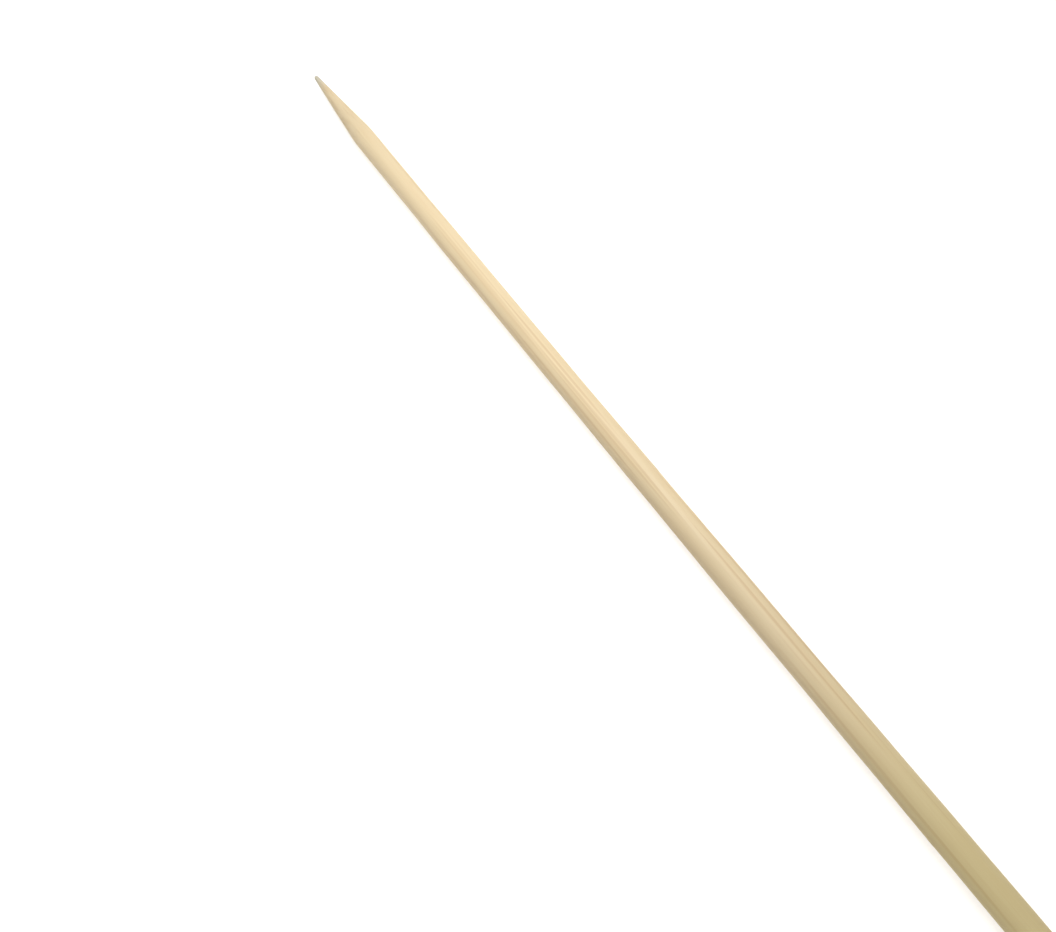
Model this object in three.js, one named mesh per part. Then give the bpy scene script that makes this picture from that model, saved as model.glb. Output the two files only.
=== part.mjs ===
import * as THREE from 'three';
import { mergeVertices } from 'three/addons/utils/BufferGeometryUtils.js';

// A bamboo skewer: one stick of split cane, drawn round through a die, sawn square at the
// butt and ground to a point at the other end. It lies on the ground as it comes to rest,
// with its length along X, its point towards +X and its gentle bow flat in the ground plane.

// Sizes of the stick, in millimetres
const LENGTH = 300;
const WIDTH = 5;
const THICKNESS = 4.9;
const BOW = 0.85;

// Sizes of the ground point
const POINT_LENGTH = 26;
const TIP_RADIUS = 0.5;
const SHOULDER_RADIUS = 60;
const POINT_LEAN = 0.15;

// Size of the broken edge round the sawn butt
const BUTT_BEVEL = 0.25;

// Fineness of the mesh
const SIDES = 40;
const SHAFT_STEP = 10;
const CONE_RINGS = 6;
const ARC_RINGS = 6;

// Colour and finish of dry, undyed bamboo
const BAMBOO = { color: 0xe9cb95, roughness: 0.58, metalness: 0 };

const RADIUS = WIDTH / 2;
const FULL_TURN = 2 * Math.PI;

// The flats of the turned mesh touch the true round, so the stick lies on one of them.
const FLAT_TO_CORNER = 1 / Math.cos(Math.PI / SIDES);

/** Evenly spaced points on a straight run, without its first point. */
function straightRun(from, to, steps) {
  const run = new THREE.LineCurve(from, to);
  return run.getSpacedPoints(steps).slice(1);
}

/** Points on an arc about a centre, without its first point. */
function arcRun(centre, radius, startAngle, endAngle, steps) {
  const clockwise = endAngle < startAngle;
  const arc = new THREE.EllipseCurve(
    centre.x, centre.y, radius, radius, startAngle, endAngle, clockwise,
  );
  return arc.getSpacedPoints(steps).slice(1);
}

/**
 * Half angle of the point. The cone starts tangent to the round tip and, left unrounded,
 * would meet the full radius of the stick at POINT_LENGTH from the tip.
 */
function pointHalfAngle() {
  const run = POINT_LENGTH - TIP_RADIUS;
  const reach = Math.hypot(run, RADIUS);
  return Math.atan2(RADIUS, run) - Math.asin(TIP_RADIUS / reach);
}

/** Outline from the middle of the butt to the end of the tip: x is radius, y is length. */
function stickOutline() {
  const angle = pointHalfAngle();
  const cornerLength = LENGTH - POINT_LENGTH;
  const shoulderReach = SHOULDER_RADIUS * Math.tan(angle / 2);
  const shaftEnd = new THREE.Vector2(RADIUS, cornerLength - shoulderReach);
  const shoulderCentre = new THREE.Vector2(RADIUS - SHOULDER_RADIUS, shaftEnd.y);
  const tipCentre = new THREE.Vector2(0, LENGTH - TIP_RADIUS);
  const coneEnd = new THREE.Vector2(
    TIP_RADIUS * Math.cos(angle),
    tipCentre.y + TIP_RADIUS * Math.sin(angle),
  );

  const outline = [new THREE.Vector2(0, 0), new THREE.Vector2(RADIUS - BUTT_BEVEL, 0)];
  outline.push(new THREE.Vector2(RADIUS, BUTT_BEVEL));

  const shaftStart = outline.at(-1);
  const shaftSteps = Math.ceil((shaftEnd.y - shaftStart.y) / SHAFT_STEP);
  outline.push(...straightRun(shaftStart, shaftEnd, shaftSteps));
  outline.push(...arcRun(shoulderCentre, SHOULDER_RADIUS, 0, angle, ARC_RINGS));
  outline.push(...straightRun(outline.at(-1), coneEnd, CONE_RINGS));
  outline.push(...arcRun(tipCentre, TIP_RADIUS, angle, Math.PI / 2, ARC_RINGS));
  outline.at(-1).x = 0;
  return outline;
}

/** Joins the seam and the two ends of a turned mesh, so that it is one closed body. */
function closeBody(geometry) {
  const open = geometry.clone();
  open.deleteAttribute('normal');
  open.deleteAttribute('uv');
  const joined = mergeVertices(open);
  const corners = Array.from(joined.index.array);
  const kept = [];
  for (let i = 0; i < corners.length; i += 3) {
    const [a, b, c] = corners.slice(i, i + 3);
    if (a !== b && b !== c && c !== a) {
      kept.push(a, b, c);
    }
  }
  joined.setIndex(kept);
  return joined;
}

/** Share of the point behind a place along the stick: 0 on the shaft, 1 at the very tip. */
function shareOfPoint(x) {
  return Math.max(0, x - (LENGTH / 2 - POINT_LENGTH)) / POINT_LENGTH;
}

/** Sideways place of the stick's middle line at a place along it: the bow and the lean. */
function sidewaysShift(x) {
  const alongHalf = x / (LENGTH / 2);
  const bow = BOW * (1 - alongHalf * alongHalf);
  return bow - POINT_LEAN * shareOfPoint(x);
}

/** Height of the section over its width: oval on the shaft, ground round towards the tip. */
function heightShare(x) {
  return THREE.MathUtils.lerp(THICKNESS / WIDTH, 1, shareOfPoint(x));
}

/** Turns the outline, lays it along X and gives it its oval section, bow and lean. */
function stickGeometry() {
  const turned = new THREE.LatheGeometry(stickOutline(), SIDES, Math.PI / SIDES, FULL_TURN);
  const geometry = closeBody(turned);
  geometry.rotateZ(-Math.PI / 2);
  geometry.translate(-LENGTH / 2, 0, 0);
  geometry.scale(1, FLAT_TO_CORNER, FLAT_TO_CORNER);

  const place = geometry.getAttribute('position');
  for (let i = 0; i < place.count; i += 1) {
    const x = place.getX(i);
    place.setY(i, place.getY(i) + sidewaysShift(x));
    place.setZ(i, place.getZ(i) * heightShare(x) + THICKNESS / 2);
  }
  return geometry;
}

/** Centres the stick sideways on the origin, since its bow moves it to one side. */
function centreSideways(geometry) {
  geometry.computeBoundingBox();
  const middle = (geometry.boundingBox.min.y + geometry.boundingBox.max.y) / 2;
  geometry.translate(0, -middle, 0);
  geometry.computeVertexNormals();
  return geometry;
}

/** The whole stick: one piece of bamboo. */
function makeSkewer() {
  const skewer = new THREE.Mesh(
    centreSideways(stickGeometry()),
    new THREE.MeshStandardMaterial(BAMBOO),
  );
  skewer.name = 'skewer';
  return skewer;
}

const model = new THREE.Group();
model.add(makeSkewer());

export default model;
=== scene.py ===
"""A bamboo skewer, dressed for a plain studio picture.

The stick is one piece of split cane, drawn round through a die, sawn square at the butt and
ground to a point. It is made here as one fine skin laid on the stick's outline, with the few
torn fibres that sawing and grinding leave on it. All lengths are in metres.
"""

from __future__ import annotations

import logging
import math
from dataclasses import dataclass, field
from enum import Enum
from typing import NamedTuple

import bpy
from mathutils import Matrix, Vector

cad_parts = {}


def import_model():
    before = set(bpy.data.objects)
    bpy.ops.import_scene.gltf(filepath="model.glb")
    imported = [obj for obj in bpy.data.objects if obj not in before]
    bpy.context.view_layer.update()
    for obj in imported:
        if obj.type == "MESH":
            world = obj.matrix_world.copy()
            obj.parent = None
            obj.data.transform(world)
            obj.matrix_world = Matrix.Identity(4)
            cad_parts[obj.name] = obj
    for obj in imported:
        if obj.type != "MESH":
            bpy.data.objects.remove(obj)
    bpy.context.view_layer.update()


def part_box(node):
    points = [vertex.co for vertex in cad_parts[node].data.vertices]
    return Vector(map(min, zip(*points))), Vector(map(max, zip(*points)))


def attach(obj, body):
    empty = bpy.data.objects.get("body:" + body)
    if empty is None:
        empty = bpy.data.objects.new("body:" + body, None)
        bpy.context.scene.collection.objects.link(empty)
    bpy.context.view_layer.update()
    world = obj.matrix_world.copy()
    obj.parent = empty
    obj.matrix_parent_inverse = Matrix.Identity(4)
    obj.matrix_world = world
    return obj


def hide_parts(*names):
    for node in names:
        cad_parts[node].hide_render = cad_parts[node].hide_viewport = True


LOG = logging.getLogger("skewer")

MM = 0.001
FULL_TURN = 2 * math.pi
STICK_NODE = "skewer"
STICK_BODY = "root"
CANE = "cane"

# Most values of a noise fall between these two.
NOISE_LOW = 0.3
NOISE_HIGH = 0.7

Colour = tuple[float, float, float, float]
Feed = bpy.types.NodeSocket | float | int | bool | str | tuple | Vector | bpy.types.Material


class NodeBench:
    """Adds nodes to one tree and wires them, so that a formula reads as its steps."""

    def __init__(self, tree: bpy.types.NodeTree) -> None:
        """Works on one tree.

        Args:
            tree: the shader or geometry tree that gets the nodes.
        """
        self.tree = tree

    def add(self, kind: str, feeds: dict[str | int, Feed] | None = None, **settings) -> bpy.types.Node:
        """Adds a node.

        Args:
            kind: Blender's type name of the node.
            feeds: what goes into its inputs, by name or number: a socket or a plain value.
            **settings: the node's own properties.

        Returns:
            The new node.
        """
        node = self.tree.nodes.new(kind)
        for name, value in settings.items():
            setattr(node, name, value)
        for key, value in (feeds or {}).items():
            self.feed(node.inputs[key], value)
        return node

    def feed(self, socket: bpy.types.NodeSocket, value: Feed) -> None:
        """Links a socket to an input, or sets the input's plain value.

        Args:
            socket: the input.
            value: an output socket to link, or the value.
        """
        if isinstance(value, bpy.types.NodeSocket):
            self.tree.links.new(value, socket)
        else:
            socket.default_value = value

    def math(self, operation: str, *values: Feed, clamp: bool = False) -> bpy.types.NodeSocket:
        """Adds a Math node on its values and returns its result."""
        node = self.add("ShaderNodeMath", dict(enumerate(values)), operation=operation, use_clamp=clamp)
        return node.outputs[0]

    def vector(self, x: Feed, y: Feed, z: Feed) -> bpy.types.NodeSocket:
        """Adds a Combine XYZ node and returns its vector."""
        return self.add("ShaderNodeCombineXYZ", {0: x, 1: y, 2: z}).outputs[0]

    def split(self, vector: Feed) -> tuple[bpy.types.NodeSocket, ...]:
        """Adds a Separate XYZ node and returns its three numbers."""
        return tuple(self.add("ShaderNodeSeparateXYZ", {0: vector}).outputs)

    def vector_math(self, operation: str, *values: Feed) -> bpy.types.NodeSocket:
        """Adds a Vector Math node on its values and returns its vector."""
        return self.add("ShaderNodeVectorMath", dict(enumerate(values)), operation=operation).outputs[0]

    def ramp(self, value: Feed, low: Feed, high: Feed, to_low: Feed = 0.0, to_high: Feed = 1.0,
             smooth: bool = True) -> bpy.types.NodeSocket:
        """Maps a value from one range to another, held at both ends.

        Args:
            value: what is mapped.
            low: the start of its range.
            high: the end of its range.
            to_low: the result at the start.
            to_high: the result at the end.
            smooth: whether the result eases in and out.

        Returns:
            The mapped value.
        """
        feeds = {0: value, 1: low, 2: high, 3: to_low, 4: to_high}
        kind = "SMOOTHSTEP" if smooth else "LINEAR"
        return self.add("ShaderNodeMapRange", feeds, interpolation_type=kind).outputs[0]

    def mix(self, share: Feed, first: Feed, second: Feed, blend: str = "MIX") -> bpy.types.NodeSocket:
        """Mixes two colours and returns the result."""
        node = self.add("ShaderNodeMix", {0: share, 6: first, 7: second}, data_type="RGBA", blend_type=blend)
        return node.outputs[2]

    def blend(self, share: Feed, first: Feed, second: Feed) -> bpy.types.NodeSocket:
        """Mixes two numbers and returns the result."""
        node = self.add("ShaderNodeMix", {0: share, 2: first, 3: second}, data_type="FLOAT")
        return node.outputs[0]

    def noise(self, place: Feed, detail: float = 2.0, roughness: float = 0.5) -> bpy.types.NodeSocket:
        """Adds a noise of unit scale at a place and returns its value, about 0.5 on average."""
        feeds = {"Vector": place, "Scale": 1.0, "Detail": detail, "Roughness": roughness}
        return self.add("ShaderNodeTexNoise", feeds).outputs[0]


def new_group(name: str, kind: str, inputs: dict[str, Feed], outputs: dict[str, str]) -> tuple:
    """Makes a node group with named inputs and outputs.

    Args:
        name: the group's name.
        kind: ShaderNodeTree or GeometryNodeTree.
        inputs: each input's name and plain value, whose type sets the socket's type.
        outputs: each output's name and socket type.

    Returns:
        The group, a bench on it, its inputs by name, and its output node.
    """
    group = bpy.data.node_groups.new(name, kind)
    for label, value in inputs.items():
        socket = group.interface.new_socket(name=label, in_out="INPUT", socket_type=socket_type(value))
        if socket.socket_type != "NodeSocketMaterial":
            socket.default_value = value
    for label, socket_kind in outputs.items():
        group.interface.new_socket(name=label, in_out="OUTPUT", socket_type=socket_kind)
    bench = NodeBench(group)
    given = bench.add("NodeGroupInput").outputs
    return group, bench, given, bench.add("NodeGroupOutput").inputs


def socket_type(value: Feed) -> str:
    """The socket type that holds a plain value: None stands for a material."""
    if value is None:
        return "NodeSocketMaterial"
    if isinstance(value, int):
        return "NodeSocketInt"
    if isinstance(value, float):
        return "NodeSocketFloat"
    return "NodeSocketVector"


@dataclass(frozen=True)
class StickSize:
    """The stick's driving sizes, the same as the solid's."""

    length: float
    thickness: float
    bow: float
    width: float = 5.0 * MM
    point_length: float = 26.0 * MM
    tip_radius: float = 0.5 * MM
    point_lean: float = 0.15 * MM
    butt_bevel: float = 0.25 * MM
    shoulder_softness: float = 0.18 * MM
    rim_softness: float = 0.08 * MM
    gauge_swing: float = 0.07 * MM
    flute_depth: float = 0.016 * MM

    @classmethod
    def from_frame(cls) -> StickSize:
        """Works out the length, thickness and bow from the solid's box.

        Returns:
            The sizes. The box is wider than the stick by its bow.
        """
        low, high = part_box(STICK_NODE)
        size = high - low
        return cls(length=size.x, thickness=size.z, bow=size.y - cls.width)

    def sockets(self) -> dict[str, float]:
        """Each size under the name that the node groups give its input."""
        return {
            "Length": self.length,
            "Width": self.width,
            "Thickness": self.thickness,
            "Bow": self.bow,
            "Point Length": self.point_length,
            "Tip Radius": self.tip_radius,
            "Point Lean": self.point_lean,
            "Butt Bevel": self.butt_bevel,
            "Shoulder Softness": self.shoulder_softness,
            "Rim Softness": self.rim_softness,
            "Gauge Swing": self.gauge_swing,
            "Flute Depth": self.flute_depth,
        }


class CanePatterns:
    """The shader groups that every cut of the cane shares, built once."""

    BUNDLE_RANDOMNESS = 0.85
    RAGGED_REACH = 30.0
    RAGGED_SWING = 4.0

    def __init__(self) -> None:
        """Builds the groups."""
        self.bundles = self._bundles()
        self.fibres = self._fibres()
        self.drift = self._drift()
        self.ground = self._ground()

    @staticmethod
    def _stretched(bench: NodeBench, cane: Feed, pitch: Feed, reach: Feed) -> bpy.types.NodeSocket:
        """Scales a place so that a unit pattern has its pitch across the cane and runs along it.

        Args:
            bench: the bench on the group.
            cane: the place in the cane.
            pitch: the pattern's size across the cane.
            reach: how many times longer than wide the pattern is.

        Returns:
            The scaled place.
        """
        along, across, up = bench.split(cane)
        shortened = bench.math("DIVIDE", along, reach)
        place = bench.vector(shortened, across, up)
        size = bench.vector(pitch, pitch, pitch)
        return bench.vector_math("DIVIDE", place, size)

    def _bundles(self) -> bpy.types.NodeTree:
        """The hard fibre bundles: long darker strands, round where they are cut across."""
        inputs = {"Cane": (0.0, 0.0, 0.0), "Pitch": 0.7 * MM, "Reach": 90.0, "Fill": 0.28, "Edge": 0.16}
        outputs = {"Mask": "NodeSocketFloat", "Tone": "NodeSocketFloat"}
        group, bench, given, result = new_group("Cane bundles", "ShaderNodeTree", inputs, outputs)
        place = self._stretched(bench, given["Cane"], given["Pitch"], given["Reach"])
        cells = bench.add("ShaderNodeTexVoronoi", {
            "Vector": place,
            "Scale": 1.0,
            "Randomness": self.BUNDLE_RANDOMNESS,
        })
        outer = bench.math("ADD", given["Fill"], given["Edge"])
        bench.feed(result["Mask"], bench.ramp(cells.outputs["Distance"], outer, given["Fill"]))
        bench.feed(result["Tone"], bench.split(cells.outputs["Color"])[0])
        return group

    def _fibres(self) -> bpy.types.NodeTree:
        """The fine fibres between the bundles: thin streaks along the cane."""
        inputs = {"Cane": (0.0, 0.0, 0.0), "Pitch": 0.15 * MM, "Reach": 120.0, "Contrast": 1.0}
        group, bench, given, result = new_group(
            "Cane fibres", "ShaderNodeTree", inputs, {"Value": "NodeSocketFloat"})
        place = self._stretched(bench, given["Cane"], given["Pitch"], given["Reach"])
        streak = bench.noise(place, detail=3.0, roughness=0.6)
        centred = bench.math("SUBTRACT", streak, 0.5)
        scaled = bench.math("MULTIPLY", centred, given["Contrast"])
        bench.feed(result["Value"], bench.math("ADD", scaled, 0.5, clamp=True))
        return group

    def _drift(self) -> bpy.types.NodeTree:
        """The slow change of tone along and around the cane."""
        inputs = {"Cane": (0.0, 0.0, 0.0), "Pitch": 3.0 * MM, "Reach": 5.0}
        group, bench, given, result = new_group(
            "Cane drift", "ShaderNodeTree", inputs, {"Value": "NodeSocketFloat"})
        place = self._stretched(bench, given["Cane"], given["Pitch"], given["Reach"])
        bench.feed(result["Value"], bench.ramp(bench.noise(place, detail=1.0), NOISE_LOW, NOISE_HIGH))
        return group

    def _ground(self) -> bpy.types.NodeTree:
        """Where the point has been ground: 1 there and 0 on the shaft, with a ragged edge."""
        inputs = {"Cane": (0.0, 0.0, 0.0), "Start": 120.0 * MM, "Ragged": 3.0 * MM, "Pitch": 0.5 * MM}
        group, bench, given, result = new_group(
            "Ground reach", "ShaderNodeTree", inputs, {"Mask": "NodeSocketFloat"})
        place = self._stretched(bench, given["Cane"], given["Pitch"], self.RAGGED_REACH)
        uneven = bench.math("SUBTRACT", bench.noise(place), 0.5)
        swing = bench.math("MULTIPLY", given["Ragged"], self.RAGGED_SWING)
        along = bench.split(given["Cane"])[0]
        reached = bench.math("MULTIPLY_ADD", uneven, swing, along)
        full = bench.math("ADD", given["Start"], given["Ragged"])
        bench.feed(result["Mask"], bench.ramp(reached, given["Start"], full))
        return group


class Cut(Enum):
    """How a face of the stick was made."""

    DRAWN = "drawn through the die"
    GROUND = "ground to a point"
    SAWN = "sawn across the fibres"
    TORN = "torn fibre"


class Layer(NamedTuple):
    """What one cut of the cane puts on the surface."""

    colour: bpy.types.NodeSocket
    roughness: bpy.types.NodeSocket
    height: bpy.types.NodeSocket


@dataclass(frozen=True)
class CaneFinish:
    """The look of one cut of the cane. The relief and the tool's marks are in millimetres."""

    cut: Cut
    pale: Colour
    tan: Colour
    bundle: Colour
    bundle_strength: float
    smooth: float
    rough: float
    relief: float
    tool_relief: float = 0.0
    tool_pitch: float = 0.0
    drift_strength: float = 0.20
    faintest_bundle: float = 0.25
    bundle_relief: float = 0.6
    streak_low: float = 0.2
    streak_high: float = 0.8
    wheel_stretch: float = 8.0
    saw_stretch: float = 12.0

    def layer(self, bench: NodeBench, cane: Feed, patterns: CanePatterns) -> Layer:
        """Builds the cut's colour, roughness and height in a material.

        Args:
            bench: the bench on the material's tree.
            cane: the place in the cane.
            patterns: the shader groups that the cuts share.

        Returns:
            The three sockets.
        """
        bundles = bench.add("ShaderNodeGroup", node_tree=patterns.bundles)
        fibres = bench.add("ShaderNodeGroup", node_tree=patterns.fibres)
        drift = bench.add("ShaderNodeGroup", node_tree=patterns.drift)
        for node in (bundles, fibres, drift):
            bench.feed(node.inputs["Cane"], cane)
        streak = fibres.outputs["Value"]
        strand = bundles.outputs["Mask"]

        ground_tone = bench.mix(streak, self.pale, self.tan)
        strength = bench.ramp(
            bundles.outputs["Tone"], 0.0, 1.0, self.faintest_bundle, self.bundle_strength)
        strands = bench.mix(bench.math("MULTIPLY", strand, strength), ground_tone, self.bundle)
        drifted = bench.math("MULTIPLY", drift.outputs["Value"], self.drift_strength)
        colour = bench.mix(drifted, strands, self.tan)

        fine = bench.math("MULTIPLY", streak, self.relief)
        proud = bench.math("MULTIPLY_ADD", strand, self.relief * self.bundle_relief, fine)
        height = bench.math("ADD", proud, self._tool_marks(bench, cane)) if self.tool_relief else proud
        roughness = bench.ramp(streak, self.streak_low, self.streak_high, self.smooth, self.rough)
        return Layer(colour, roughness, height)

    def _tool_marks(self, bench: NodeBench, cane: Feed) -> bpy.types.NodeSocket:
        """The marks of the wheel, round the point, or of the saw, straight across the butt."""
        along, across, up = bench.split(cane)
        if self.cut is Cut.GROUND:
            wide = self.tool_pitch * self.wheel_stretch
            marks = (along, self.tool_pitch), (across, wide), (up, wide)
        else:
            wide = self.tool_pitch * self.saw_stretch
            marks = (across, self.tool_pitch), (up, wide), (along, 1.0)
        place = bench.vector(*(bench.math("DIVIDE", value, pitch) for value, pitch in marks))
        return bench.math("MULTIPLY", bench.noise(place), self.tool_relief)


@dataclass(frozen=True)
class StickTone:
    """How the colour changes along the whole stick: painted shade, darker and olive, towards the butt, and a
    grey tip. Places are shares of the length from its middle.
    """

    # The painted shade's tint, multiplied into the colour towards the butt.
    olive: Colour = (0.91, 0.925, 0.76, 1.0)
    olive_start: float = -0.05
    olive_end: float = -0.21
    # The grey that the colour is mixed towards at the tip.
    grey: Colour = (0.64, 0.63, 0.53, 1.0)
    grey_share: float = 0.75
    grey_length: float = 8.0 * MM

    def over(self, bench: NodeBench, cane: Feed, colour: Feed, length: float) -> bpy.types.NodeSocket:
        """Tints a colour darker and olive towards the butt, as painted shade where the light falls off, and
        greys it at the tip.

        Args:
            bench: the bench on the material's tree.
            cane: the place in the cane.
            colour: the colour that is tinted.
            length: the stick's length.

        Returns:
            The tinted colour.
        """
        along = bench.split(cane)[0]
        # Painted shade: the colour is multiplied darker and olive towards the butt, standing in for the light
        # that falls off at the near end.
        painted_butt_shade = bench.ramp(along, self.olive_start * length, self.olive_end * length)
        tinted = bench.mix(painted_butt_shade, colour, self.olive, "MULTIPLY")
        tip = length / 2
        # Greys the colour over the last few millimetres to the tip.
        tip_grey_share = bench.ramp(along, tip - self.grey_length, tip, 0.0, self.grey_share)
        return bench.mix(tip_grey_share, tinted, self.grey)


class CanePaint:
    """Makes the stick's materials."""

    def __init__(self, size: StickSize) -> None:
        """Builds the shared groups.

        Args:
            size: the stick's sizes, which place the changes along it.
        """
        self.size = size
        self.patterns = CanePatterns()
        self.tone = StickTone()

    def plain(self, finish: CaneFinish) -> bpy.types.Material:
        """Makes the material of a face with one cut."""
        material, bench, cane = self._started(finish.cut.value)
        return self._finished(material, bench, cane, finish.layer(bench, cane, self.patterns))

    def skin(self, drawn: CaneFinish, ground: CaneFinish) -> bpy.types.Material:
        """Makes the material of the skin, drawn on the shaft and ground on the point.

        Args:
            drawn: the finish of the shaft.
            ground: the finish of the point.

        Returns:
            The material.
        """
        material, bench, cane = self._started("drawn skin and ground point")
        shaft = drawn.layer(bench, cane, self.patterns)
        point = ground.layer(bench, cane, self.patterns)
        reach = bench.add("ShaderNodeGroup", node_tree=self.patterns.ground)
        shoulder = self.size.length / 2 - self.size.point_length
        bench.feed(reach.inputs["Cane"], cane)
        bench.feed(reach.inputs["Start"], shoulder)
        mask = reach.outputs["Mask"]
        layer = Layer(
            bench.mix(mask, shaft.colour, point.colour),
            bench.blend(mask, shaft.roughness, point.roughness),
            bench.blend(mask, shaft.height, point.height),
        )
        return self._finished(material, bench, cane, layer)

    @staticmethod
    def _started(name: str) -> tuple[bpy.types.Material, NodeBench, bpy.types.NodeSocket]:
        """Makes an empty material and reads the place in the cane."""
        material = bpy.data.materials.new(f"Cane, {name}")
        material.use_nodes = True
        material.node_tree.nodes.clear()
        bench = NodeBench(material.node_tree)
        cane = bench.add("ShaderNodeAttribute", attribute_name=CANE).outputs["Vector"]
        return material, bench, cane

    def _finished(self, material: bpy.types.Material, bench: NodeBench, cane: Feed,
                  layer: Layer) -> bpy.types.Material:
        """Tints the colour along the stick and adds the shader."""
        bump = bench.add("ShaderNodeBump", {"Height": layer.height, "Distance": MM, "Strength": 1.0})
        shader = bench.add("ShaderNodeBsdfPrincipled", {
            "Base Color": self.tone.over(bench, cane, layer.colour, self.size.length),
            "Roughness": layer.roughness,
            "Normal": bump.outputs[0],
            "IOR": 1.46,
        })
        bench.add("ShaderNodeOutputMaterial", {"Surface": shader.outputs[0]})
        return material


DRAWN_CANE = CaneFinish(
    cut=Cut.DRAWN,
    pale=(0.925, 0.785, 0.52, 1.0),
    tan=(0.83, 0.635, 0.37, 1.0),
    bundle=(0.66, 0.45, 0.22, 1.0),
    bundle_strength=0.5,
    smooth=0.42,
    rough=0.60,
    relief=0.010,
)
GROUND_CANE = CaneFinish(
    cut=Cut.GROUND,
    pale=(0.92, 0.79, 0.53, 1.0),
    tan=(0.83, 0.645, 0.39, 1.0),
    bundle=(0.66, 0.46, 0.24, 1.0),
    bundle_strength=0.45,
    smooth=0.58,
    rough=0.72,
    relief=0.014,
    tool_relief=0.012,
    tool_pitch=0.12 * MM,
)
SAWN_CANE = CaneFinish(
    cut=Cut.SAWN,
    pale=(0.80, 0.64, 0.38, 1.0),
    tan=(0.66, 0.46, 0.23, 1.0),
    bundle=(0.30, 0.17, 0.07, 1.0),
    bundle_strength=0.9,
    smooth=0.72,
    rough=0.9,
    relief=0.03,
    tool_relief=0.02,
    tool_pitch=0.15 * MM,
)
TORN_CANE = CaneFinish(
    cut=Cut.TORN,
    pale=(0.90, 0.75, 0.49, 1.0),
    tan=(0.80, 0.60, 0.34, 1.0),
    bundle=(0.60, 0.42, 0.20, 1.0),
    bundle_strength=0.3,
    smooth=0.6,
    rough=0.7,
    relief=0.004,
)


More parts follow.
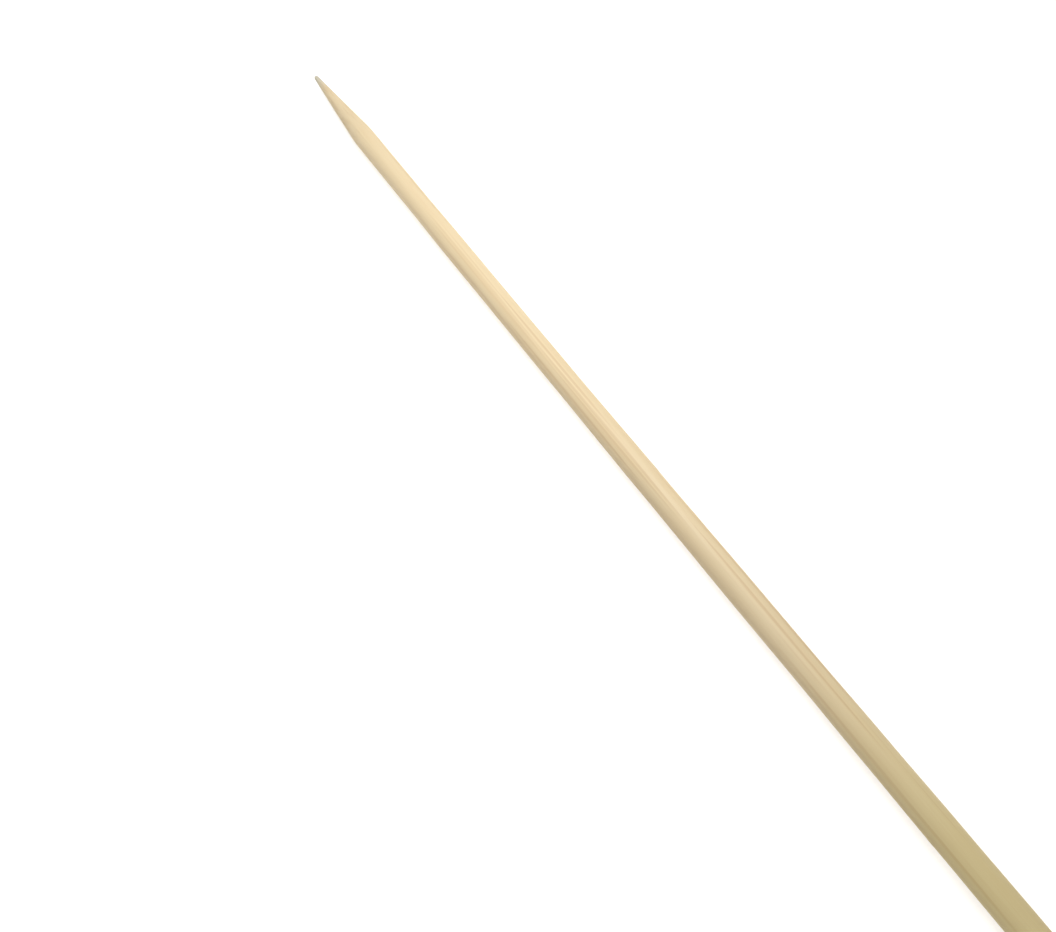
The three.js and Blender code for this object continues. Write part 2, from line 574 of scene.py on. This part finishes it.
class StickSurface:
    """The node group that says where the skin of the stick is."""

    GAUGE_LENGTH = 22.0 * MM
    FLUTE_WIDTH = 0.55 * MM
    FLUTE_REACH = 110.0

    def __init__(self, size: StickSize) -> None:
        """Builds the group.

        Args:
            size: the stick's sizes, which the group has as its inputs.
        """
        inputs = {"Along": 0.0, "Turn": 0.0, "Share": 1.0, **size.sockets()}
        outputs = {"Position": "NodeSocketVector", "Cane": "NodeSocketVector"}
        self.group, self.bench, self.given, result = new_group(
            "Stick surface", "GeometryNodeTree", inputs, outputs)
        bench, given = self.bench, self.given
        along_x = bench.math("SUBTRACT", given["Along"], self._half(given["Length"]))
        point_start = bench.math("SUBTRACT", self._half(given["Length"]), given["Point Length"])
        onto = bench.math("DIVIDE", bench.math("SUBTRACT", along_x, point_start),
                          given["Point Length"], clamp=True)
        cosine = bench.math("COSINE", given["Turn"])
        sine = bench.math("SINE", given["Turn"])
        radius = self._fluted(self._radius(), cosine, sine)
        reach = bench.math("MULTIPLY", radius, given["Share"])
        across = bench.math("MULTIPLY", reach, cosine)
        flatness = bench.math("DIVIDE", given["Thickness"], given["Width"])
        height_share = bench.ramp(onto, 0.0, 1.0, flatness, 1.0, smooth=False)
        up = bench.math("MULTIPLY", bench.math("MULTIPLY", reach, sine), height_share)
        bench.feed(result["Cane"], bench.vector(along_x, across, up))
        shifted = bench.math("ADD", across, self._sideways(along_x, onto))
        lifted = bench.math("ADD", up, self._half(given["Thickness"]))
        bench.feed(result["Position"], bench.vector(along_x, shifted, lifted))

    def _half(self, value: Feed) -> bpy.types.NodeSocket:
        """Half of a value."""
        return self.bench.math("MULTIPLY", value, 0.5)

    def _radius(self) -> bpy.types.NodeSocket:
        """The outline: the drawn shaft, the soft shoulder, the cone, the round tip and the rim."""
        bench, given = self.bench, self.given
        from_tip = bench.math("SUBTRACT", given["Length"], given["Along"])
        gauge_place = bench.vector(bench.math("DIVIDE", given["Along"], self.GAUGE_LENGTH), 0.0, 0.0)
        gauge = bench.ramp(bench.noise(gauge_place, detail=1.0), NOISE_LOW, NOISE_HIGH)
        thinner = bench.math("MULTIPLY", gauge, given["Gauge Swing"])
        shaft = bench.math("SUBTRACT", self._half(given["Width"]), thinner)
        growth = bench.math("SUBTRACT", self._half(given["Width"]), given["Tip Radius"])
        slope = bench.math("DIVIDE", growth, given["Point Length"])
        cone = bench.math("MULTIPLY_ADD", from_tip, slope, given["Tip Radius"])
        pointed = bench.math("SMOOTH_MIN", shaft, cone, given["Shoulder Softness"])
        onto_tip = bench.math("DIVIDE", from_tip, given["Tip Radius"], clamp=True)
        short_of = bench.math("SUBTRACT", 1.0, onto_tip)
        roundness = bench.math("SQRT", bench.math("SUBTRACT", 1.0, bench.math("POWER", short_of, 2.0)))
        tipped = bench.math("MULTIPLY", pointed, roundness)
        rim = bench.math("ADD", bench.math("SUBTRACT", shaft, given["Butt Bevel"]), given["Along"])
        return bench.math("SMOOTH_MIN", tipped, rim, given["Rim Softness"])

    def _fluted(self, radius: Feed, cosine: Feed, sine: Feed) -> bpy.types.NodeSocket:
        """The radius with the shallow flutes that the fibres leave, which fade out at the tip."""
        bench, given = self.bench, self.given
        flute_place = bench.vector(
            bench.math("DIVIDE", given["Along"], self.FLUTE_WIDTH * self.FLUTE_REACH),
            bench.math("DIVIDE", bench.math("MULTIPLY", radius, cosine), self.FLUTE_WIDTH),
            bench.math("DIVIDE", bench.math("MULTIPLY", radius, sine), self.FLUTE_WIDTH),
        )
        flute = bench.math("SUBTRACT", bench.noise(flute_place, detail=1.0), 0.5)
        depth = bench.math("MULTIPLY", given["Flute Depth"], 2.0)
        fade = bench.math("DIVIDE", radius, self._half(given["Width"]))
        swing = bench.math("MULTIPLY", bench.math("MULTIPLY", flute, depth), fade)
        return bench.math("ADD", radius, swing)

    def _sideways(self, along_x: Feed, onto: Feed) -> bpy.types.NodeSocket:
        """The middle line's place across: the bow about its own half, less the lean of the point."""
        bench, given = self.bench, self.given
        share = bench.math("DIVIDE", along_x, self._half(given["Length"]))
        arch = bench.math("SUBTRACT", 0.5, bench.math("POWER", bench.math("ABSOLUTE", share), 2.0))
        bowed = bench.math("MULTIPLY", arch, given["Bow"])
        leaned = bench.math("MULTIPLY", onto, given["Point Lean"])
        return bench.math("SUBTRACT", bowed, leaned)


@dataclass(frozen=True)
class Strip:
    """One length of the skin, with its own fineness."""

    start: float
    end: float
    rings: int
    inner: float = 1.0


@dataclass
class Stick:
    """The stick's skin, from the middle of the butt to the end of the tip."""

    size: StickSize
    surface: StickSurface
    skin: bpy.types.Material
    butt: bpy.types.Material
    sides: int = 144
    rim_zone: float = 0.6 * MM
    point_zone: float = 31.0 * MM
    tip_zone: float = 1.1 * MM
    merge_distance: float = 1e-3 * MM
    sawn_facing: float = -0.95

    def strips(self) -> tuple[Strip, ...]:
        """The lengths of skin from the rim to the tip."""
        length = self.size.length
        point_start = length - self.point_zone
        tip_start = length - self.tip_zone
        return (
            Strip(0.0, self.rim_zone, 8),
            Strip(self.rim_zone, point_start, 400),
            Strip(point_start, tip_start, 110),
            Strip(tip_start, length, 12),
        )

    def build(self) -> bpy.types.Object:
        """Makes the stick as one closed mesh.

        Returns:
            The stick's object, at the origin.
        """
        inputs = {**self.size.sockets(), "Sides": self.sides, "Skin": None, "Butt": None}
        tree, bench, given, result = new_group(
            "Stick skin", "GeometryNodeTree", inputs, {"Geometry": "NodeSocketGeometry"})
        join = bench.add("GeometryNodeJoinGeometry")
        tree.links.new(self._lay(bench, given, Strip(0.0, 0.0, 14, inner=0.0)), join.inputs[0])
        for strip in self.strips():
            tree.links.new(self._lay(bench, given, strip), join.inputs[0])
        merged = bench.add("GeometryNodeMergeByDistance", {
            "Geometry": join.outputs[0],
            "Distance": self.merge_distance,
        })
        smooth = bench.add("GeometryNodeSetShadeSmooth", {"Geometry": merged.outputs[0]})
        real = bench.add("GeometryNodeRealizeInstances", {0: smooth.outputs[0]})
        dressed = bench.add("GeometryNodeSetMaterial", {
            "Geometry": real.outputs[0],
            "Material": given["Skin"],
        })
        facing = bench.split(bench.add("GeometryNodeInputNormal").outputs[0])[0]
        sawn = bench.add("GeometryNodeSetMaterial", {
            "Geometry": dressed.outputs[0],
            "Selection": bench.math("LESS_THAN", facing, self.sawn_facing),
            "Material": given["Butt"],
        })
        bench.feed(result["Geometry"], sawn.outputs[0])
        return grown_object("skewer_stick", tree, {"Skin": self.skin, "Butt": self.butt})

    def _lay(self, bench: NodeBench, given: bpy.types.bpy_prop_collection,
             strip: Strip) -> bpy.types.NodeSocket:
        """Lays one strip of the skin on the surface.

        Args:
            bench: the bench on the tree.
            given: the tree's inputs.
            strip: the strip.

        Returns:
            The strip's geometry.
        """
        grid = bench.add("GeometryNodeMeshGrid", {
            "Size X": 1.0,
            "Size Y": 1.0,
            "Vertices X": strip.rings + 1,
            "Vertices Y": bench.math("ADD", given["Sides"], 1),
        })
        place = bench.add("GeometryNodeInputPosition").outputs[0]
        u, v, _ = bench.split(bench.vector_math("ADD", place, (0.5, 0.5, 0.0)))
        feeds = {
            "Along": bench.ramp(u, 0.0, 1.0, strip.start, strip.end, smooth=False),
            "Turn": bench.math("MULTIPLY", v, -FULL_TURN),
            "Share": bench.ramp(u, 0.0, 1.0, strip.inner, 1.0, smooth=False),
            **{name: given[name] for name in self.size.sockets()},
        }
        skin = bench.add("GeometryNodeGroup", node_tree=self.surface.group)
        for name, value in feeds.items():
            bench.feed(skin.inputs[name], value)
        keep = bench.add(
            "GeometryNodeStoreNamedAttribute",
            {"Geometry": grid.outputs[0], "Name": CANE, "Value": skin.outputs["Cane"]},
            data_type="FLOAT_VECTOR", domain="POINT",
        )
        placed = bench.add("GeometryNodeSetPosition", {
            "Geometry": keep.outputs[0],
            "Position": skin.outputs["Position"],
        })
        return placed.outputs[0]


def grown_object(name: str, tree: bpy.types.NodeTree,
                 materials: dict[str, bpy.types.Material]) -> bpy.types.Object:
    """Runs a geometry tree and keeps its result as a plain mesh.

    Args:
        name: the piece's name.
        tree: the geometry tree, with its sizes in its inputs.
        materials: the materials by the names of the inputs that take them.

    Returns:
        The piece's object, at the origin, with no modifier.
    """
    blank = bpy.data.meshes.new(f"{name} blank")
    piece = bpy.data.objects.new(name, blank)
    bpy.context.scene.collection.objects.link(piece)
    modifier = piece.modifiers.new("Grow", "NODES")
    modifier.node_group = tree
    for item in tree.interface.items_tree:
        if item.in_out == "INPUT":
            modifier[item.identifier] = materials.get(item.name) or item.default_value
    depsgraph = bpy.context.evaluated_depsgraph_get()
    mesh = bpy.data.meshes.new_from_object(
        piece.evaluated_get(depsgraph), preserve_all_data_layers=True, depsgraph=depsgraph)
    mesh.name = name
    piece.modifiers.remove(modifier)
    piece.data = mesh
    bpy.data.meshes.remove(blank)
    return piece


@dataclass(frozen=True)
class TornZone:
    """A stretch of the stick on which sawing or grinding left torn fibres. The lift is in degrees."""

    start: float
    end: float
    count: int
    shortest: float
    longest: float
    lift: float
    towards: float
    seed: int


@dataclass
class TornFibres:
    """The few thin slivers that stand off the skin, rooted in it, clear of the ground."""

    size: StickSize
    surface: StickSurface
    material: bpy.types.Material
    fibre_radius: float = 0.035 * MM
    tip_share: float = 0.2
    curl: float = 0.05 * MM
    root_share: float = 0.985
    first_turn: float = math.radians(-56)
    least_rise: float = 0.3
    most_rise: float = 1.7

    def zones(self) -> tuple[TornZone, ...]:
        """Where the slivers are: round the sawn rim, over the shoulder and, few, on the shaft."""
        length = self.size.length
        shoulder = length - self.size.point_length
        return (
            TornZone(
                start=0.0, end=0.25 * MM, count=26,
                shortest=0.15 * MM, longest=0.7 * MM, lift=10.0, towards=-1.0, seed=3,
            ),
            TornZone(
                start=shoulder - 3 * MM, end=shoulder + 16 * MM, count=22,
                shortest=0.5 * MM, longest=1.8 * MM, lift=3.5, towards=1.0, seed=7,
            ),
            TornZone(
                start=12 * MM, end=shoulder - 12 * MM, count=26,
                shortest=0.8 * MM, longest=3.0 * MM, lift=2.0, towards=1.0, seed=11,
            ),
        )

    def build(self) -> bpy.types.Object:
        """Makes all the slivers as one mesh.

        Returns:
            The slivers' object, at the origin.
        """
        inputs = {**self.size.sockets(), "Fibre Radius": self.fibre_radius, "Fibre": None}
        tree, bench, given, result = new_group(
            "Torn fibres", "GeometryNodeTree", inputs, {"Geometry": "NodeSocketGeometry"})
        join = bench.add("GeometryNodeJoinGeometry")
        for zone in self.zones():
            tree.links.new(self._sprout(bench, given, zone), join.inputs[0])
        real = bench.add("GeometryNodeRealizeInstances", {0: join.outputs[0]})
        smooth = bench.add("GeometryNodeSetShadeSmooth", {"Geometry": real.outputs[0]})
        place = bench.add("GeometryNodeInputPosition").outputs[0]
        keep = bench.add(
            "GeometryNodeStoreNamedAttribute",
            {"Geometry": smooth.outputs[0], "Name": CANE, "Value": place},
            data_type="FLOAT_VECTOR", domain="POINT",
        )
        dressed = bench.add("GeometryNodeSetMaterial", {
            "Geometry": keep.outputs[0],
            "Material": given["Fibre"],
        })
        bench.feed(result["Geometry"], dressed.outputs[0])
        return grown_object("torn_fibres", tree, {"Fibre": self.material})

    def _sliver(self, bench: NodeBench, given: bpy.types.bpy_prop_collection) -> bpy.types.NodeSocket:
        """One sliver of unit length, tapered and a little curved."""
        cone = bench.add("GeometryNodeMeshCone", {
            "Vertices": 5,
            "Side Segments": 4,
            "Radius Top": bench.math("MULTIPLY", given["Fibre Radius"], self.tip_share),
            "Radius Bottom": given["Fibre Radius"],
            "Depth": 1.0,
        })
        height = bench.split(bench.add("GeometryNodeInputPosition").outputs[0])[2]
        curl = bench.math("MULTIPLY", bench.math("POWER", height, 2.0), self.curl)
        bent = bench.add("GeometryNodeSetPosition", {
            "Geometry": cone.outputs[0],
            "Offset": bench.vector(curl, 0.0, 0.0),
        })
        return bent.outputs[0]

    def _sprout(self, bench: NodeBench, given: bpy.types.bpy_prop_collection,
                zone: TornZone) -> bpy.types.NodeSocket:
        """Roots one zone's slivers in the skin.

        Args:
            bench: the bench on the tree.
            given: the tree's inputs.
            zone: the stretch and its slivers.

        Returns:
            The slivers as instances.
        """
        points = bench.add("GeometryNodePoints", {"Count": zone.count})
        along = self._random(bench, zone.start, zone.end, zone.seed)
        turn = self._random(bench, self.first_turn, math.pi - self.first_turn, zone.seed + 1)
        skin = bench.add("GeometryNodeGroup", node_tree=self.surface.group)
        feeds = {"Along": along, "Turn": turn, "Share": self.root_share}
        feeds.update({name: given[name] for name in self.size.sockets()})
        for name, value in feeds.items():
            bench.feed(skin.inputs[name], value)
        rooted = bench.add("GeometryNodeSetPosition", {
            "Geometry": points.outputs[0],
            "Position": skin.outputs["Position"],
        })
        slope = math.tan(math.radians(zone.lift))
        rise = self._random(bench, self.least_rise * slope, self.most_rise * slope, zone.seed + 2)
        way = bench.vector(
            zone.towards,
            bench.math("MULTIPLY", rise, bench.math("COSINE", turn)),
            bench.math("MULTIPLY", rise, bench.math("SINE", turn)),
        )
        turned = bench.add("FunctionNodeAlignRotationToVector", {"Vector": way}, axis="Z")
        reach = self._random(bench, zone.shortest, zone.longest, zone.seed + 3)
        sprouts = bench.add("GeometryNodeInstanceOnPoints", {
            "Points": rooted.outputs[0],
            "Instance": self._sliver(bench, given),
            "Rotation": turned.outputs[0],
            "Scale": bench.vector(1.0, 1.0, reach),
        })
        return sprouts.outputs[0]

    @staticmethod
    def _random(bench: NodeBench, low: float, high: float, seed: int) -> bpy.types.NodeSocket:
        """A random number for each point, the same on each run."""
        node = bench.add("FunctionNodeRandomValue", data_type="FLOAT")
        bench.feed(node.inputs[2], low)
        bench.feed(node.inputs[3], high)
        bench.feed(node.inputs["Seed"], seed)
        return node.outputs[1]


@dataclass(frozen=True)
class Viewpoint:
    """The camera's place and aim, and the frame that they were worked out in."""

    place: Vector = Vector((-28.51, 31.74, 134.77)) * MM
    yaw: float = -14.82
    pitch: float = 64.97
    roll: float = -21.00
    focal_pixels: float = 800.0
    frame_pixels: float = 1056.0
    sensor_mm: float = 36.0

    def add_camera(self) -> bpy.types.Object:
        """Adds the camera and makes it the scene's.

        Returns:
            The camera's object.
        """
        data = bpy.data.cameras.new("Camera")
        data.sensor_width = self.sensor_mm
        data.lens = self.focal_pixels / self.frame_pixels * self.sensor_mm
        data.clip_start = MM
        data.clip_end = 20.0
        camera = bpy.data.objects.new("Camera", data)
        camera.matrix_world = Matrix.Translation(self.place) @ self._turned().to_4x4()
        bpy.context.scene.collection.objects.link(camera)
        bpy.context.scene.camera = camera
        return camera

    def _turned(self) -> Matrix:
        """The camera's rotation: it looks down by its pitch, towards its yaw, rolled about its view."""
        pitch, yaw, roll = (math.radians(angle) for angle in (self.pitch, self.yaw, self.roll))
        forward = Vector((math.cos(pitch) * math.cos(yaw), math.cos(pitch) * math.sin(yaw), -math.sin(pitch)))
        level_right = forward.cross(Vector((0, 0, 1))).normalized()
        level_up = level_right.cross(forward)
        right = math.cos(roll) * level_right + math.sin(roll) * level_up
        up = math.cos(roll) * level_up - math.sin(roll) * level_right
        return Matrix((right, up, -forward)).transposed()


@dataclass(frozen=True)
class SoftLamp:
    """One square area lamp that looks at a place on the stick."""

    name: str
    place: Vector
    aim: Vector
    width: float
    watts: float
    colour: tuple[float, float, float] = (1.0, 1.0, 1.0)

    def add(self) -> bpy.types.Object:
        """Adds the lamp.

        Returns:
            The lamp's object.
        """
        data = bpy.data.lights.new(self.name, "AREA")
        data.shape = "SQUARE"
        data.size = self.width
        data.energy = self.watts
        data.color = self.colour
        lamp = bpy.data.objects.new(self.name, data)
        lamp.location = self.place
        lamp.rotation_euler = (self.aim - self.place).to_track_quat("-Z", "Y").to_euler()
        bpy.context.scene.collection.objects.link(lamp)
        return lamp


@dataclass
class Studio:
    """The plain pale floor, the soft lamps, the white surround and the camera."""

    floor_size: float = 8.0
    floor_colour: Colour = (0.84, 0.81, 0.77, 1.0)
    ambient: float = 0.26
    near_lift: float = 0.67
    far_lift: float = 0.82
    far_start: float = 0.10
    far_end: float = 0.40
    viewpoint: Viewpoint = Viewpoint()
    lamps: tuple[SoftLamp, ...] = (
        SoftLamp("Key", Vector((0.08, -0.06, 0.19)), Vector((0.08, 0.0, 0.0)), 0.14, 0.335),
        SoftLamp("Point fill", Vector((0.16, 0.20, 0.10)), Vector((0.12, 0.0, 0.0)), 0.12, 0.05),
        SoftLamp("Butt fill", Vector((-0.24, 0.10, 0.05)), Vector((-0.15, 0.0, 0.0)), 0.10, 0.05),
    )

    def build(self) -> None:
        """Adds everything that isn't the stick."""
        scene = bpy.context.scene
        scene.view_settings.view_transform = "Standard"
        self.viewpoint.add_camera()
        for lamp in self.lamps:
            lamp.add()
        self._surround(scene)
        self._floor(scene)

    @staticmethod
    def _seen_directly(bench: NodeBench) -> bpy.types.NodeSocket:
        """1 where the camera, a mirror or clear glass shows the backdrop, else 0."""
        path = bench.add("ShaderNodeLightPath").outputs
        mirrored = bench.math("MAXIMUM", path["Is Glossy Ray"], path["Is Transmission Ray"])
        return bench.math("MAXIMUM", path["Is Camera Ray"], mirrored)

    def _surround(self, scene: bpy.types.Scene) -> None:
        """Lights the stick softly from all round, and shows plain white behind it."""
        world = bpy.data.worlds.new("Surround")
        world.use_nodes = True
        world.node_tree.nodes.clear()
        bench = NodeBench(world.node_tree)
        seen = self._seen_directly(bench)
        strength = bench.ramp(seen, 0.0, 1.0, self.ambient, 1.0, smooth=False)
        backdrop = bench.add("ShaderNodeBackground", {"Color": (1.0, 1.0, 1.0, 1.0), "Strength": strength})
        bench.add("ShaderNodeOutputWorld", {"Surface": backdrop.outputs[0]})
        scene.world = world

    def _floor(self, scene: bpy.types.Scene) -> None:
        """Adds the floor, which keeps the stick's shadow."""
        half = self.floor_size / 2
        mesh = bpy.data.meshes.new("floor")
        corners = [(-half, -half, 0), (half, -half, 0), (half, half, 0), (-half, half, 0)]
        mesh.from_pydata(corners, [], [(0, 1, 2, 3)])
        floor = bpy.data.objects.new("floor", mesh)
        scene.collection.objects.link(floor)
        mesh.materials.append(self._floor_paint())

    def _floor_paint(self) -> bpy.types.Material:
        """Makes the floor's pale paint, which glows where it is seen.

        Returns:
            The material. The glow grows with the distance, so the far floor meets the white.
        """
        paint = bpy.data.materials.new("Floor paint")
        paint.use_nodes = True
        paint.node_tree.nodes.clear()
        bench = NodeBench(paint.node_tree)
        place = bench.add("ShaderNodeNewGeometry").outputs["Position"]
        distance = bench.add("ShaderNodeVectorMath", {0: place}, operation="LENGTH").outputs["Value"]
        lift = bench.ramp(distance, self.far_start, self.far_end, self.near_lift, self.far_lift)
        shader = bench.add("ShaderNodeBsdfPrincipled", {
            "Base Color": self.floor_colour,
            "Roughness": 0.9,
            "Specular IOR Level": 0.0,
            "Emission Color": (1.0, 1.0, 1.0, 1.0),
            "Emission Strength": bench.math("MULTIPLY", self._seen_directly(bench), lift),
        })
        bench.add("ShaderNodeOutputMaterial", {"Surface": shader.outputs[0]})
        return paint


def corners(bounds: tuple) -> list[list[float]]:
    """A box as plain lists of numbers."""
    return [[float(number) for number in corner] for corner in bounds]


def seat(piece: bpy.types.Object, *replaced: str) -> None:
    """Fixes a piece to the stick's body and hides the solids that it stands for.

    Args:
        piece: the piece.
        *replaced: the solids that it stands for.
    """
    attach(piece, STICK_BODY)
    if replaced:
        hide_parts(*replaced)
    faces = len(piece.data.polygons)
    LOG.info("%s: %d faces, %d materials", piece.name, faces, len(piece.data.materials))


def main() -> None:
    """Builds the stick, its torn fibres and the studio."""
    logging.basicConfig(level=logging.INFO, format="%(name)s: %(message)s")
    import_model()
    size = StickSize.from_frame()
    LOG.info("bow %.3f mm", size.bow / MM)
    paint = CanePaint(size)
    surface = StickSurface(size)
    stick = Stick(size, surface, paint.skin(DRAWN_CANE, GROUND_CANE), paint.plain(SAWN_CANE))
    seat(stick.build(), STICK_NODE)
    fibres = TornFibres(size, surface, paint.plain(TORN_CANE))
    seat(fibres.build())
    Studio().build()


if __name__ == "__main__":
    main()
